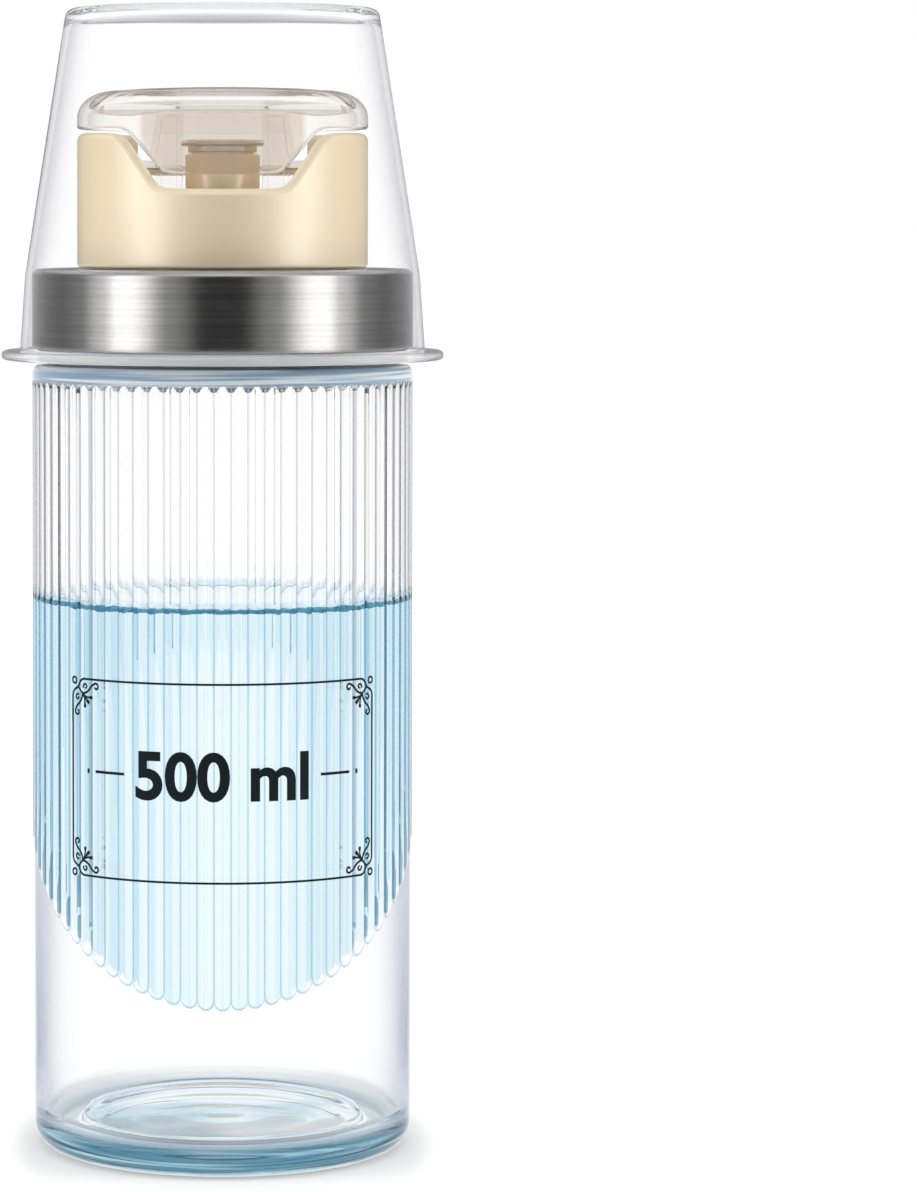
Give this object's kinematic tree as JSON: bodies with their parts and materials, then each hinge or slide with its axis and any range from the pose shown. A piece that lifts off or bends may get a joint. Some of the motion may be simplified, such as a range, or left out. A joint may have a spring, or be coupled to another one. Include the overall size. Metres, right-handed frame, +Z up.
{
  "type": "mouthwash dispenser",
  "caption": "Ribbed glass bottle with a screw-on pour cap, a weighted flip lid over a steel-lipped spout, and a clear measuring cup upside down over the cap.",
  "frame": {"origin": "centre of the bottle's base, on the surface it stands on", "axes": "+Z up along the bottle's axis, -Y towards the pour notch"},
  "size_m": [0.087, 0.087, 0.224],
  "materials": {
    "glass": "clear, polished, faint blue",
    "silicone": "translucent, matte",
    "liner": "white foam liner",
    "cream": "satin moulded",
    "steel": "brushed round the axis",
    "smoke": "smoky translucent, glossy",
    "clear": "clear, glossy"
  },
  "bodies": {
    "bottle": {"bottle": "glass", "shoulder_gasket": "silicone"},
    "seal_ring": {"neck_seal": "liner"},
    "cap": {"inner_cap": "cream", "steel_band": "steel", "spout_housing": "cream", "spout_nozzle": "cream", "nozzle_seal": "silicone", "spout_tip": "steel", "pour_insert": "cream", "hinge_pin": "steel", "pin_cap_left": "smoke", "pin_cap_right": "smoke"},
    "lid": {"flip_lid": "smoke", "lid_bracket": "smoke"},
    "weight_link": {"weight_frame": "smoke", "roller_pin": "steel", "counterweight": "smoke"},
    "rollers": {"roller_left": "smoke", "roller_right": "smoke"},
    "measuring_cup": {"measuring_cup": "clear"}
  },
  "joints": [
    {"name": "cap_rise", "type": "slide", "parent": "bottle", "child": "seal_ring", "axis": [0, 0, 1], "range_m": [0, 0.012]},
    {"name": "cap_unscrew", "type": "hinge", "parent": "seal_ring", "child": "cap", "pos_m": [0, 0, 0.1572], "axis": [0, 0, 1], "range_deg": [0, 1080]},
    {"name": "cup_lift", "type": "slide", "parent": "cap", "child": "measuring_cup", "axis": [0, 0, 1], "range_m": [0, 0.3]},
    {"name": "lid_open", "type": "hinge", "parent": "cap", "child": "lid", "pos_m": [0, 0.017, 0.193], "axis": [-1, 0, 0], "range_deg": [0, 95]},
    {"name": "weight_swing", "type": "hinge", "parent": "lid", "child": "weight_link", "pos_m": [0, 0.017, 0.193], "axis": [-1, 0, 0], "range_deg": [-8, 8]},
    {"name": "roller_spin", "type": "hinge", "parent": "weight_link", "child": "rollers", "pos_m": [0, 0.017, 0.1805], "axis": [-1, 0, 0], "continuous": true}
  ],
  "couplings": [
    {"joint": "cap_rise", "follows": "cap_unscrew", "m_per_rad": 0.0006366},
    {"joint": "lid_open", "follows": "cup_lift", "rad_per_m": 5.5268}
  ]
}
